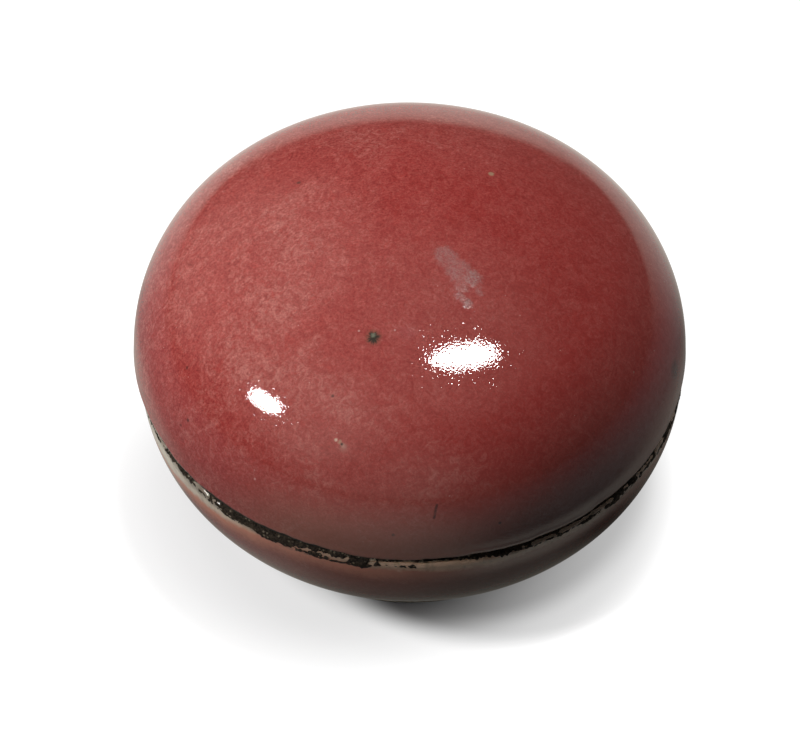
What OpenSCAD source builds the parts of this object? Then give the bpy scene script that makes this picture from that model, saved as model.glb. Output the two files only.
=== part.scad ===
// A round porcelain box for seal paste: a low bowl on a foot ring, a domed cover that
// sits on the bowl's rim around its flange, and the paste that the bowl holds.
// Millimetres, +Z up. The origin is on the table under the middle of the foot ring.

/* [Cover] */
// Radius of the glazed cover at its widest ring
cover_r = 38; // [34:0.5:48]
// Height of the cover's widest ring above the joint
cover_belly_h = 2; // [1:0.25:3]
// Height of the cover's dome above its widest ring
cover_dome_h = 26; // [24:0.5:34]
// Radius of the curve from the cover's side into its top
cover_shoulder_r = 21.25; // [14:0.25:23]
// Thickness of the cover's porcelain wall
cover_wall = 2.9; // [2.2:0.1:4]

/* [Bowl] */
// How far the cover's widest ring stands out past the bowl's
cover_overhang = 0.4; // [0:0.1:1]
// Depth of the bowl's widest ring below the joint
bowl_belly_drop = 1.1; // [0.5:0.1:3]
// Depth of the bowl's curve below its widest ring, carried on through the foot to the axis
bowl_curve_h = 26; // [22:0.5:30]
// Radius of the curve from the bowl's side into its underside
bowl_flank_r = 21; // [15:0.5:21.5]
// Thickness of the porcelain floor between the well and the base
floor_t = 3.2; // [2.4:0.1:4.4]
// Radius of the corner between the well's wall and its floor
well_corner_r = 13; // [8:0.5:13.5]
// How far the well's floor dips to its middle
well_dish = 0.6; // [0.2:0.1:1.4]

/* [Foot ring] */
// Radius of the glazed foot ring
foot_r = 26.5; // [22:0.5:29]
// Width of the foot ring's porcelain
foot_w = 2.4; // [1.8:0.1:4]
// Height of the foot ring outside, up to the bowl's curve
foot_h = 3.6; // [2.4:0.1:5]
// Height of the base inside the foot ring
recess_h = 5.4; // [4.6:0.1:6.5]
// Radius of the corner between the foot ring and the base
recess_corner_r = 1.2; // [0.8:0.1:2.5]

/* [Joint] */
// Height of the flange above the joint
flange_h = 4; // [3:0.25:6]
// Thickness of the flange
flange_wall = 2.1; // [1.6:0.1:3]
// Clearance all round between the flange's top and the inside of the cover
flange_gap = 0.4; // [0.2:0.05:0.8]

/* [Edges] */
// Rounding of the outer edges of the cover's rim and the bowl's seat
rim_round = 0.6; // [0.3:0.1:0.7]
// Rounding of the flange's top edges, the mouth's edge and the foot ring's edges
lip_round = 0.5; // [0.2:0.1:0.7]

/* [Glaze] */
// Thickness of the red glaze outside
glaze_t = 0.35; // [0.2:0.05:0.6]
// Thickness of the white glaze inside and on the base
lining_t = 0.3; // [0.2:0.05:0.5]
// Bare porcelain between the red glaze and the joint, on the cover and on the bowl
rim_bare = 1; // [0.8:0.1:1.8]
// Bare porcelain between the glaze and the foot ring's standing face
foot_bare = 1; // [0.8:0.1:1.6]
// Bare porcelain inside the flange, below its top
flange_bare = 1.5; // [0.8:0.1:2]
// Bare porcelain inside the cover, above the flange's top
mouth_bare = 1.2; // [0.5:0.1:3]

/* [Paste] */
// How far the paste stands up the well's straight wall
paste_wall_h = 1.1; // [0.5:0.1:2]
// Height of the paste's mound above its edge
paste_heap_h = 7; // [6:0.5:12]
// Radius of the mound's outer curve
paste_shoulder_r = 5; // [2:0.5:5.5]

/* [Hidden] */

// Steps along a dome's curve, a short curve and a rounded edge, and the fineness of a turn
dome_steps = 30;
bend_steps = 6;
edge_steps = 5;
turn_fn = 96;
// A coat's end runs out over this many times the coat's thickness
runout = 1.2;

porcelain = [0.90, 0.86, 0.78];
red_glaze = [0.56, 0.17, 0.15];
white_glaze = [0.93, 0.94, 0.91];
vermilion = [0.74, 0.11, 0.07];

// A dome's outline is two arcs that meet smoothly. The shoulder arc starts upright at
// radius r, and the crown arc crosses the axis square to it at height h. A point on the
// outline is given by the angle of its normal, from 0 at the side to 90 at the top, and
// by its depth under the surface, measured square to it.
function crown_r(r, shoulder, h) =
    (pow(r - shoulder, 2) + h * h - shoulder * shoulder) / (2 * (h - shoulder));
function meet_angle(r, shoulder, h) = atan2(crown_r(r, shoulder, h) - h, r - shoulder);
function dome_point(dome, depth, angle) =
    let (r = dome[0], shoulder = dome[1], h = dome[2], crown = crown_r(r, shoulder, h))
    angle < meet_angle(r, shoulder, h)
        ? [r - shoulder + (shoulder - depth) * cos(angle), (shoulder - depth) * sin(angle)]
        : [(crown - depth) * cos(angle), h - crown + (crown - depth) * sin(angle)];
function dome_line(dome, depth, from, to, steps = dome_steps) =
    [for (i = [0 : steps]) dome_point(dome, depth, from + (to - from) * i / steps)];

// The angle of the normal where a dome's outline has height z, on its shoulder arc
function angle_at_height(dome, depth, z) = asin(z / (dome[1] - depth));
// The angle of the normal where a dome's outline has radius x, on either arc
function angle_at_radius(dome, depth, x) =
    let (r = dome[0], shoulder = dome[1], h = dome[2], crown = crown_r(r, shoulder, h))
    x < (crown - depth) * cos(meet_angle(r, shoulder, h))
        ? acos(x / (crown - depth))
        : acos((x - r + shoulder) / (shoulder - depth));

function arc(centre, radius, from, to, steps = edge_steps) =
    [for (i = [0 : steps])
        let (a = from + (to - from) * i / steps)
        centre + radius * [cos(a), sin(a)]];
// An outline drawn upwards from height z, and one drawn downwards from it
function up_from(z, points) = [for (p = points) [p[0], z + p[1]]];
function down_from(z, points) = [for (p = points) [p[0], z - p[1]]];
function backwards(points) = [for (i = [len(points) - 1 : -1 : 0]) points[i]];

// The four domes: the cover, the bowl upside down, the well upside down, the paste's mound
cover_dome = [cover_r, cover_shoulder_r, cover_dome_h];
bowl_r = cover_r - cover_overhang;
bowl_dome = [bowl_r, bowl_flank_r, bowl_curve_h];

// Radii of the joint, from the cover's mouth inwards
mouth_depth = glaze_t + cover_wall;
mouth_r = cover_r - mouth_depth;
mouth_shoulder = cover_shoulder_r - mouth_depth;
flange_top_above_belly = flange_h - cover_belly_h;
cover_inside_at_flange_top = cover_r - cover_shoulder_r
    + sqrt(pow(mouth_shoulder, 2) - pow(flange_top_above_belly, 2));
flange_r = cover_inside_at_flange_top - flange_gap;
well_r = flange_r - flange_wall;

well_dome = [well_r, well_corner_r, well_corner_r + well_dish];
paste_dome = [well_r - lining_t, paste_shoulder_r, paste_heap_h];

// Heights, from the table up
foot_angle = angle_at_radius(bowl_dome, 0, foot_r);
bowl_belly_z = foot_h + dome_point(bowl_dome, 0, foot_angle)[1];
joint_z = bowl_belly_z + bowl_belly_drop;
cover_belly_z = joint_z + cover_belly_h;
flange_top_z = joint_z + flange_h;
well_floor_z = recess_h + floor_t;
well_turn_z = well_floor_z + well_dome[2];
bowl_lining_top_z = flange_top_z - flange_bare;
paste_edge_z = well_turn_z + paste_wall_h;

// Where each coat stops, as the angle of the normal there
cover_glaze_stop = angle_at_height(cover_dome, glaze_t, rim_bare - cover_belly_h);
cover_lining_stop = angle_at_height(cover_dome, mouth_depth,
                                    flange_top_above_belly + mouth_bare);
bowl_glaze_stop = angle_at_height(bowl_dome, glaze_t, rim_bare - bowl_belly_drop);
// The same for the run-out of the coat's surface
cover_glaze_end = angle_at_height(cover_dome, 0, rim_bare - cover_belly_h + runout * glaze_t);
cover_lining_end = angle_at_height(cover_dome, mouth_depth + lining_t,
                                   flange_top_above_belly + mouth_bare + runout * lining_t);
bowl_glaze_end = angle_at_height(bowl_dome, 0, rim_bare - bowl_belly_drop + runout * glaze_t);
// The porcelain's side just before its rounded rim edge
cover_rim_side = angle_at_height(cover_dome, glaze_t, rim_round - cover_belly_h);
bowl_rim_side = angle_at_height(bowl_dome, glaze_t, rim_round - bowl_belly_drop);
cover_rim_r = dome_point(cover_dome, glaze_t, cover_rim_side)[0];
bowl_rim_r = dome_point(bowl_dome, glaze_t, bowl_rim_side)[0];

// The foot ring's porcelain, under its coats
foot_side_r = foot_r - glaze_t;
recess_r = foot_side_r - foot_w;
foot_side_angle = angle_at_radius(bowl_dome, glaze_t, foot_side_r);

// Faces that a coat and the porcelain share are drawn once, here
cover_under_glaze = up_from(cover_belly_z,
                            dome_line(cover_dome, glaze_t, cover_glaze_stop, 90));
cover_under_lining = up_from(cover_belly_z,
                             dome_line(cover_dome, mouth_depth, cover_lining_stop, 90));
bowl_under_glaze = down_from(bowl_belly_z,
                             dome_line(bowl_dome, glaze_t, bowl_glaze_stop, foot_side_angle));
well_under_lining = concat([[well_r, bowl_lining_top_z]],
                           down_from(well_turn_z, dome_line(well_dome, 0, 0, 90)));
well_lined = down_from(well_turn_z, dome_line(well_dome, lining_t, 0, 90));
base_under_glaze = concat(
    [[recess_r, foot_bare]],
    arc([recess_r - recess_corner_r, recess_h - recess_corner_r], recess_corner_r, 0, 90),
    [[0, recess_h]]
);

module turned(outline) {
    rotate_extrude($fn = turn_fn) polygon(outline);
}

// The bowl's porcelain: foot ring, side, flat seat for the cover, flange and well
module bowl_body() {
    color(porcelain) turned(concat(
        arc([recess_r + lip_round, lip_round], lip_round, 180, 270),
        arc([foot_side_r - lip_round, lip_round], lip_round, 270, 360),
        [[foot_side_r, foot_bare]],
        backwards(bowl_under_glaze),
        arc([bowl_rim_r - rim_round, joint_z - rim_round], rim_round, 0, 90),
        [[flange_r, joint_z]],
        arc([flange_r - lip_round, flange_top_z - lip_round], lip_round, 0, 90),
        arc([well_r + lip_round, flange_top_z - lip_round], lip_round, 90, 180),
        well_under_lining,
        backwards(base_under_glaze)
    ));
}

// The red glaze on the bowl's side and down its foot ring
module bowl_outer_glaze() {
    color(red_glaze) turned(concat(
        bowl_under_glaze,
        [[foot_side_r, foot_bare], [foot_r, foot_bare + runout * glaze_t]],
        backwards(down_from(bowl_belly_z,
                            dome_line(bowl_dome, 0, bowl_glaze_end, foot_angle)))
    ));
}

// The white glaze of the well
module bowl_lining_glaze() {
    color(white_glaze) turned(concat(
        well_under_lining,
        backwards(well_lined),
        [
            [well_r - lining_t, paste_edge_z],
            [well_r - lining_t, bowl_lining_top_z - runout * lining_t]
        ]
    ));
}

// The white glaze inside the foot ring and on the base
module base_glaze() {
    inner = arc([recess_r - recess_corner_r, recess_h - recess_corner_r],
                recess_corner_r - lining_t, 90, 0);
    color(white_glaze) turned(concat(
        base_under_glaze,
        [[0, recess_h - lining_t]],
        inner,
        [[recess_r - lining_t, foot_bare + runout * lining_t]]
    ));
}

// The paste, pressed into the well and heaped in its middle
module seal_paste() {
    color(vermilion) turned(concat(
        backwards(well_lined),
        up_from(paste_edge_z, dome_line(paste_dome, 0, 0, 90))
    ));
}

// The cover's porcelain: a flat rim that rests on the seat, a straight mouth and a dome
module cover_body() {
    mouth_bend = up_from(cover_belly_z,
        dome_line(cover_dome, mouth_depth, 0, cover_lining_stop, bend_steps));
    color(porcelain) turned(concat(
        arc([mouth_r + lip_round, joint_z + lip_round], lip_round, 180, 270),
        arc([cover_rim_r - rim_round, joint_z + rim_round], rim_round, 270, 360),
        cover_under_glaze,
        backwards(cover_under_lining),
        [for (i = [bend_steps - 1 : -1 : 0]) mouth_bend[i]]
    ));
}

// The red glaze over the cover
module cover_outer_glaze() {
    color(red_glaze) turned(concat(
        cover_under_glaze,
        backwards(up_from(cover_belly_z,
                          dome_line(cover_dome, 0, cover_glaze_end, 90)))
    ));
}

// The white glaze inside the cover
module cover_lining_glaze() {
    color(white_glaze) turned(concat(
        cover_under_lining,
        backwards(up_from(cover_belly_z,
                          dome_line(cover_dome, mouth_depth + lining_t, cover_lining_end, 90)))
    ));
}

bowl_body();
bowl_outer_glaze();
bowl_lining_glaze();
base_glaze();
seal_paste();
cover_body();
cover_outer_glaze();
cover_lining_glaze();
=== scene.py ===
# A round covered porcelain box with copper-red glaze, holding vermilion seal paste
import math

import bpy
import numpy as np
from mathutils import Matrix, Vector


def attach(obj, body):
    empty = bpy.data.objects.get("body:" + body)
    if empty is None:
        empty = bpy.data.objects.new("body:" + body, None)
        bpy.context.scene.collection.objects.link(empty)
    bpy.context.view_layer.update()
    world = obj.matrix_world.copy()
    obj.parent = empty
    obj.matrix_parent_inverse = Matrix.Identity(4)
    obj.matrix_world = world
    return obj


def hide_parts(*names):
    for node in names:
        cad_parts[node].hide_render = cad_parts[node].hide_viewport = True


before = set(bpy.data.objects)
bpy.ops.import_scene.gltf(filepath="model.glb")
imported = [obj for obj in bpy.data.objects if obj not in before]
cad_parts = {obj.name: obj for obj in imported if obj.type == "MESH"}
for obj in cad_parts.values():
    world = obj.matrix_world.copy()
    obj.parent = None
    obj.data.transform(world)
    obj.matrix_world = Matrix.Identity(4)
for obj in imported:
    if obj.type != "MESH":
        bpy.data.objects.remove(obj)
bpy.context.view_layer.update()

# Driving dimensions of the solids, in millimetres, as in the part's source.
# A dome is its radius, the radius of its shoulder, and its height.
MM = 0.001
COVER_DOME = (38.0, 21.25, 26.0)
COVER_BELLY_H = 2.0
COVER_WALL = 2.9
BOWL_DOME = (37.6, 21.0, 26.0)
BOWL_BELLY_DROP = 1.1
FLOOR_T = 3.2
WELL_CORNER_R = 13.0
WELL_DISH = 0.6
FOOT_R = 26.5
FOOT_W = 2.4
FOOT_H = 3.6
RECESS_H = 5.4
RECESS_CORNER_R = 1.2
FLANGE_H = 4.0
FLANGE_WALL = 2.1
FLANGE_GAP = 0.4
RIM_ROUND = 0.6
LIP_ROUND = 0.5
GLAZE_T = 0.35
LINING_T = 0.3
RIM_BARE = 1.0
FOOT_BARE = 1.0
FLANGE_BARE = 1.5
MOUTH_BARE = 1.2
PASTE_WALL_H = 1.1
PASTE_HEAP_H = 7.0
PASTE_SHOULDER_R = 5.0


# Outlines. A point on a dome is given by the angle of its normal, from 0 at the side to
# 90 at the top, and by its depth under the surface. Values may be arrays, one for each
# place round the turn.
def crown_r(dome):
    r, shoulder, h = dome
    return ((r - shoulder) ** 2 + h * h - shoulder * shoulder) / (2 * (h - shoulder))


def meet_angle(dome):
    r, shoulder, h = dome
    return math.degrees(math.atan2(crown_r(dome) - h, r - shoulder))


def dome_point(dome, depth, angle):
    """Radius and height of points on a dome's outline"""
    r, shoulder, h = dome
    crown = crown_r(dome)
    turn = np.radians(angle)
    side = np.asarray(angle) < meet_angle(dome)
    radius = np.where(side, r - shoulder + (shoulder - depth) * np.cos(turn),
                      (crown - depth) * np.cos(turn))
    height = np.where(side, (shoulder - depth) * np.sin(turn),
                      h - crown + (crown - depth) * np.sin(turn))
    return radius, height


def angle_at_height(dome, depth, z):
    return np.degrees(np.arcsin(z / (dome[1] - depth)))


def angle_at_radius(dome, depth, x):
    r, shoulder, h = dome
    crown = crown_r(dome)
    if x < (crown - depth) * math.cos(math.radians(meet_angle(dome))):
        return math.degrees(math.acos(x / (crown - depth)))
    return math.degrees(math.acos((x - r + shoulder) / (shoulder - depth)))


def rings(radius, height):
    """Rings of a turned outline: a row for each of its points, with one value for the
    whole turn or one for each place round it"""
    both = [np.asarray(values, float) for values in (radius, height)]
    both = [values[:, None] if values.ndim == 1 else values for values in both]
    return np.stack(np.broadcast_arrays(*both), -1)


def dome_rings(standing, depth, start, end, steps):
    """Rings along the outline of a dome that stands up or hangs down"""
    dome, base, up = standing
    share = np.linspace(0, 1, steps + 1)[:, None]
    angle = start + (end - start) * share
    radius, height = dome_point(dome, depth, angle)
    if np.ndim(end) == 0 and end == 90:
        radius = np.where(share == 1, 0, radius)
    return rings(radius, base + up * height)


def arc_rings(centre, radius, start, end, steps):
    turn = np.radians(np.linspace(start, end, steps + 1))
    return rings(centre[0] + radius * np.cos(turn), centre[1] + radius * np.sin(turn))


# Heights and radii that follow from the driving dimensions
FOOT_ANGLE = angle_at_radius(BOWL_DOME, 0, FOOT_R)
BOWL_BELLY_Z = FOOT_H + float(dome_point(BOWL_DOME, 0, FOOT_ANGLE)[1])
JOINT_Z = BOWL_BELLY_Z + BOWL_BELLY_DROP
COVER_BELLY_Z = JOINT_Z + COVER_BELLY_H
FLANGE_TOP_Z = JOINT_Z + FLANGE_H
MOUTH_DEPTH = GLAZE_T + COVER_WALL
MOUTH_R = COVER_DOME[0] - MOUTH_DEPTH
FLANGE_TOP_ABOVE_BELLY = FLANGE_H - COVER_BELLY_H
FLANGE_R = (COVER_DOME[0] - COVER_DOME[1] - FLANGE_GAP
            + math.sqrt((COVER_DOME[1] - MOUTH_DEPTH) ** 2 - FLANGE_TOP_ABOVE_BELLY ** 2))
WELL_R = FLANGE_R - FLANGE_WALL
WELL_DOME = (WELL_R, WELL_CORNER_R, WELL_CORNER_R + WELL_DISH)
PASTE_DOME = (WELL_R - LINING_T, PASTE_SHOULDER_R, PASTE_HEAP_H)
WELL_FLOOR_Z = RECESS_H + FLOOR_T
WELL_TURN_Z = WELL_FLOOR_Z + WELL_DOME[2]
PASTE_EDGE_Z = WELL_TURN_Z + PASTE_WALL_H
LINING_TOP_Z = FLANGE_TOP_Z - FLANGE_BARE
FOOT_SIDE_R = FOOT_R - GLAZE_T
RECESS_R = FOOT_SIDE_R - FOOT_W
FOOT_SIDE_ANGLE = angle_at_radius(BOWL_DOME, GLAZE_T, FOOT_SIDE_R)
# A dome, the height of its widest ring, and 1 where it stands up or -1 where it hangs
COVER = (COVER_DOME, COVER_BELLY_Z, 1)
BOWL = (BOWL_DOME, BOWL_BELLY_Z, -1)
WELL = (WELL_DOME, WELL_TURN_Z, -1)


# Unevenness. A turn's places are angles from the front, -Y, towards +X.
# The bowl stands a little to one side of the cover's axis, towards +X, in millimetres
BOWL_ASIDE = 0.25


def turn_places(count):
    return np.linspace(-math.pi, math.pi, count, endpoint=False)


def ragged(turn, low, high, fade, seed):
    """An uneven line round the turn, of about unit size, with low to high waves in a turn"""
    rng = np.random.default_rng(seed)
    waves = np.arange(low, high)
    size = waves ** -float(fade)
    shift = rng.uniform(0, 2 * math.pi, len(waves))
    line = (size[:, None] * np.sin(waves[:, None] * turn + shift[:, None])).sum(0)
    return line / math.sqrt((size ** 2).sum() / 2)


def lumps(points, length, seed, count=28):
    """A smooth uneven field in space, of about unit size, with waves of about this length"""
    rng = np.random.default_rng(seed)
    total = np.zeros(points.shape[:-1])
    for _ in range(count):
        way = rng.normal(size=3)
        way *= 2 * math.pi / (np.linalg.norm(way) * length * rng.uniform(0.65, 1.6))
        total += np.sin(points @ way + rng.uniform(0, 2 * math.pi))
    return total / math.sqrt(count / 2)


def near(turn_degrees, middle, width):
    """1 at one place of the turn, falling smoothly to 0 over about this many degrees"""
    away = (turn_degrees - middle + 180) % 360 - 180
    return np.exp(-(away / width) ** 2)


def round_turn(turn_degrees, table):
    """Values between those of a table of degrees from the front and values"""
    places, values = zip(*table)
    return np.interp(turn_degrees, places, values, period=360)


def ease(value, low, high):
    t = np.clip((value - low) / (high - low), 0, 1)
    return t * t * (3 - 2 * t)


# Chips along the seat's edge: degrees from the front, half width and depth in millimetres
CHIPS = [
    (-10.6, 0.9, 0.55),
    (-15.5, 0.7, 0.30),
    (-27.8, 0.9, 0.42),
    (-41.2, 0.8, 0.36),
    (19.0, 1.1, 0.30),
    (51.0, 1.0, 0.34),
    (118.0, 1.2, 0.40),
    (-133.0, 0.9, 0.35),
    (171.0, 0.7, 0.30),
]


# How far each is out of round: share of the radius, waves in a turn, and their start
BOWL_UNROUND = [(0.0012, 2, 0.7), (0.0005, 3, -1.1)]
COVER_UNROUND = [(0.0012, 2, 1.9), (0.0004, 3, 0.4)]


def unround(turn, waves):
    """How much wider than round each place is"""
    scale = 1
    for size, count, start in waves:
        scale = scale + size * np.cos(count * turn + start)
    return scale


def chip_at(degrees, middle, half_width):
    """1 in a chip's middle, falling smoothly to 0 at its sides"""
    return near(degrees, middle, math.degrees(half_width / BOWL_DOME[0]))


def bowl_field(points):
    """The bowl as thrown: barely out of round, with an uneven, chipped seat edge"""
    turn = np.arctan2(points[..., 0], -points[..., 1])
    radius = np.hypot(points[..., 0], points[..., 1])
    scale = unround(turn, BOWL_UNROUND)
    below = JOINT_Z - points[..., 2]
    edge = np.exp(-(below / 0.55) ** 2) * ease(radius, FLANGE_R + 0.6, BOWL_DOME[0] - 0.6)
    inward = edge * (0.05 * lumps(points, 2.2, 11) + 0.03 * lumps(points, 0.9, 12) + 0.05)
    for middle, half_width, depth in CHIPS:
        inward = inward + edge * depth * chip_at(np.degrees(turn), middle, half_width)
    scale = scale - inward / np.maximum(radius, 1)
    moved = points.copy()
    moved[..., 0] *= scale
    moved[..., 0] += BOWL_ASIDE
    moved[..., 1] *= scale
    moved[..., 2] -= inward * 0.8
    return moved


def cover_field(points):
    """The cover as thrown: barely out of round, its dome a little uneven"""
    turn = np.arctan2(points[..., 0], -points[..., 1])
    scale = unround(turn, COVER_UNROUND)
    above = points[..., 2] - JOINT_Z
    edge = np.exp(-(above / 0.4) ** 2)
    moved = points.copy()
    moved[..., 0] *= scale
    moved[..., 1] *= scale
    moved[..., 2] += 0.018 * lumps(points, 23, 21) * ease(above, 3, 14)
    moved[..., 2] += 0.035 * edge * np.abs(lumps(points, 1.6, 22))
    return moved


def add(name, data):
    """A new object in the scene"""
    made = bpy.data.objects.new(name, data)
    bpy.context.scene.collection.objects.link(made)
    return made


def add_mesh(name, vertices, faces, material):
    mesh = bpy.data.meshes.new(name)
    mesh.from_pydata(vertices, [], faces)
    mesh.materials.append(material)
    return add(name, mesh)


def signed_area(outline):
    r, z = outline[:, 0], outline[:, 1]
    return 0.5 * float((r * np.roll(z, -1) - np.roll(r, -1) * z).sum())


def turned(name, parts, turn, field, node, body, material, sharp=38):
    """A solid turned about the upright axis from closed rows of rings"""
    outline = np.concatenate([np.broadcast_to(part, (len(part), len(turn), 2))
                              for part in parts])
    if signed_area(outline[:, 0]) < 0:
        outline = outline[::-1]
    on_axis = outline[:, :, 0].max(1) < 1e-6
    radius, height = outline[..., 0], outline[..., 1]
    points = np.stack([radius * np.sin(turn), -radius * np.cos(turn), height], -1)
    points = field(points)
    # A row on the axis is a single vertex, and the faces next to it are triangles
    vertices = [row[:1] if single else row for row, single in zip(points, on_axis)]
    starts = np.cumsum([0, *map(len, vertices)])
    rows = [start + np.arange(len(turn)) * (not single) for start, single in zip(starts, on_axis)]
    faces = []
    for i, row in enumerate(rows):
        after = (i + 1) % len(rows)
        quads = np.stack([row, np.roll(row, -1), np.roll(rows[after], -1), rows[after]], -1)
        if not (on_axis[i] and on_axis[after]):
            faces += quads[:, int(on_axis[i]):4 - int(on_axis[after])].tolist()
    piece = add_mesh(name, (np.concatenate(vertices) * MM).tolist(), faces, material)
    piece.data.validate()
    piece.data.shade_smooth()
    piece.data.set_sharp_from_angle(angle=math.radians(sharp))
    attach(piece, body)
    if node:
        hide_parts(node)


# Materials
class Nodes:
    """The shader nodes of a material or of the world"""

    def __init__(self, owner):
        owner.use_nodes = True
        self.nodes = owner.node_tree.nodes
        self.links = owner.node_tree.links

    def put(self, socket, value):
        if isinstance(value, bpy.types.NodeSocket):
            self.links.new(value, socket)
        elif hasattr(socket.default_value, "__len__") and len(socket.default_value) == 4:
            socket.default_value = (*value[:3], 1)
        else:
            socket.default_value = value

    def node(self, kind, values=(), **settings):
        made = self.nodes.new(kind)
        for key, value in settings.items():
            setattr(made, key, value)
        for socket, value in zip(made.inputs, values):
            self.put(socket, value)
        return made

    def math(self, operation, *values, clamp=False):
        made = self.node("ShaderNodeMath", values, operation=operation, use_clamp=clamp)
        return made.outputs[0]

    def chain(self, operation, values):
        total = values[0]
        for value in values[1:]:
            total = self.math(operation, total, value)
        return total

    def times(self, *values):
        return self.chain("MULTIPLY", values)

    def plus(self, *values):
        return self.chain("ADD", values)

    def minus(self, *values):
        return self.chain("SUBTRACT", values)

    def vector(self, operation, *values, scale=None):
        made = self.node("ShaderNodeVectorMath", values, operation=operation)
        if scale is not None:
            self.put(made.inputs["Scale"], scale)
        single = operation in ("LENGTH", "DISTANCE", "DOT_PRODUCT")
        return made.outputs["Value" if single else "Vector"]

    def dot(self, one, other):
        return self.vector("DOT_PRODUCT", one, other)

    def line(self, value, low, high, start=0.0, end=1.0, kind="LINEAR"):
        """Goes from start to end as the value goes from low to high"""
        made = self.node("ShaderNodeMapRange", [value, low, high, start, end],
                         interpolation_type=kind)
        return made.outputs[0]

    def ease(self, *span):
        """As line does, but smoothly"""
        return self.line(*span, kind="SMOOTHSTEP")

    def mix(self, share, one, other):
        """From one colour to the other"""
        made = self.node("ShaderNodeMix", data_type="RGBA")
        self.put(made.inputs[0], share)
        self.put(made.inputs[6], one)
        self.put(made.inputs[7], other)
        return made.outputs[2]

    def stain(self, colour, where, strength, tint):
        """The colour, tinted with this strength where it says"""
        return self.mix(self.times(where, strength), colour, tint)

    def ray_is(self, *kinds):
        """1 for these kinds of ray"""
        rays = self.node("ShaderNodeLightPath").outputs
        return self.chain("MAXIMUM", [rays[kind] for kind in kinds])


class Paint(Nodes):
    """A procedural material: a Principled shader and the nodes that feed it"""

    def __init__(self, name, rough=0.5, ior=1.5, **fixed):
        self.material = bpy.data.materials.new(name)
        super().__init__(self.material)
        self.nodes.clear()
        self.shader = self.nodes.new("ShaderNodeBsdfPrincipled")
        self.surface = self.nodes.new("ShaderNodeOutputMaterial").inputs["Surface"]
        self.links.new(self.shader.outputs[0], self.surface)
        self.shader.inputs["Roughness"].default_value = rough
        self.shader.inputs["IOR"].default_value = ior
        for key, value in fixed.items():
            self.shader.inputs[key.replace("_", " ")].default_value = value
        metres = self.nodes.new("ShaderNodeTexCoord").outputs["Object"]
        # Coordinates in millimetres
        self.place = self.vector("SCALE", metres, scale=1 / MM)
        self.x, self.y, self.z = self.node("ShaderNodeSeparateXYZ", [self.place]).outputs

    def away_from(self, place):
        """Distance from a place, in millimetres"""
        return self.vector("DISTANCE", self.place, place)

    def noise(self, per_mm, detail=2.0, rough=0.5, twist=0.0, at=None):
        """Noise with this many features in a millimetre, about 0.5 on average"""
        made = self.node("ShaderNodeTexNoise")
        settings = {"Vector": at or self.place, "Scale": per_mm, "Detail": detail,
                    "Roughness": rough, "Distortion": twist}
        for key, value in settings.items():
            self.put(made.inputs[key], value)
        return made.outputs[0]

    def swing(self, size, *noise):
        """Noise that swings round 0, over this size from its lowest to its highest"""
        return self.math("MULTIPLY_ADD", self.noise(*noise), size, -size / 2)

    def specks(self, per_mm, edge, chosen):
        """1 in round specks at some of the scattered points. The edge says where a speck
        fades, in mm, and chosen picks the points by chance."""
        made = self.node("ShaderNodeTexVoronoi")
        self.put(made.inputs["Vector"], self.place)
        self.put(made.inputs["Scale"], per_mm)
        pick = self.node("ShaderNodeSeparateXYZ", [made.outputs["Color"]]).outputs[0]
        away = self.math("DIVIDE", made.outputs["Distance"], per_mm)
        return self.times(self.ease(away, *edge, 1, 0), self.ease(pick, *chosen))

    def spot(self, place, radius, soft, wobble=0.0, per_mm=2.0):
        """1 inside a round mark at a place, 0 outside it"""
        away = self.away_from(place)
        if wobble:
            shake = self.minus(self.noise(per_mm, 3, 0.6), 0.5)
            away = self.math("MULTIPLY_ADD", shake, wobble, away)
        return self.ease(away, radius - soft, radius + soft, 1, 0)

    def turn_degrees(self):
        """Degrees from the front, -Y, towards +X"""
        return self.math("DEGREES", self.math("ARCTAN2", self.x, self.times(self.y, -1)))

    def round_turn(self, table):
        """Values between those of a table of degrees from the front and values"""
        most = max(value for _, value in table)
        share = self.math("MULTIPLY_ADD", self.turn_degrees(), 1 / 360, 0.5)
        made = self.node("ShaderNodeValToRGB", [share])
        stops = made.color_ramp.elements
        inner = [stops.new(degrees / 360 + 0.5) for degrees, _ in table[1:-1]]
        for stop, (_, value) in zip([stops[0], *inner, stops[-1]], table):
            stop.color = (value / most, value / most, value / most, 1)
        return self.times(made.outputs[0], most)

    def bump(self, height, size_mm, under=None):
        made = self.node("ShaderNodeBump")
        self.put(made.inputs["Height"], height)
        made.inputs["Strength"].default_value = 1
        made.inputs["Distance"].default_value = size_mm * MM
        if under is not None:
            self.links.new(under, made.inputs["Normal"])
        return made.outputs[0]

    def finish(self, colour=None, rough=None, normal=None):
        feeds = {"Base Color": colour, "Roughness": rough, "Normal": normal}
        for key, value in feeds.items():
            if value is not None:
                self.put(self.shader.inputs[key], value)
        return self.material


# Linear colours, first of the red glaze
RED_MID = (0.380, 0.053, 0.046)
RED_DEEP = (0.350, 0.033, 0.029)
# Paler red of the haze, partly a painted sheen of the light at the left
RED_HAZE_AND_SHEEN = (0.445, 0.126, 0.106)
RED_PATCH = (0.37, 0.038, 0.032)
RED_WISP = (0.50, 0.20, 0.17)
BUBBLE_PALE = (0.75, 0.46, 0.40)
SPECK_DARK = (0.05, 0.012, 0.010)
# Painted shade: brown that darkens the cover towards its rim, away from the lit left side
RIM_SHADE_BROWN = (0.30, 0.135, 0.080)
EDGE_DARK = (0.040, 0.026, 0.020)
IRON_HALO = (0.17, 0.060, 0.036)
IRON_CORE = (0.014, 0.013, 0.008)
IRON_GREENISH = (0.17, 0.18, 0.12)
STREAK_DARK = (0.035, 0.010, 0.008)
SCUFF_PALE = (0.44, 0.24, 0.21)
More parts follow.
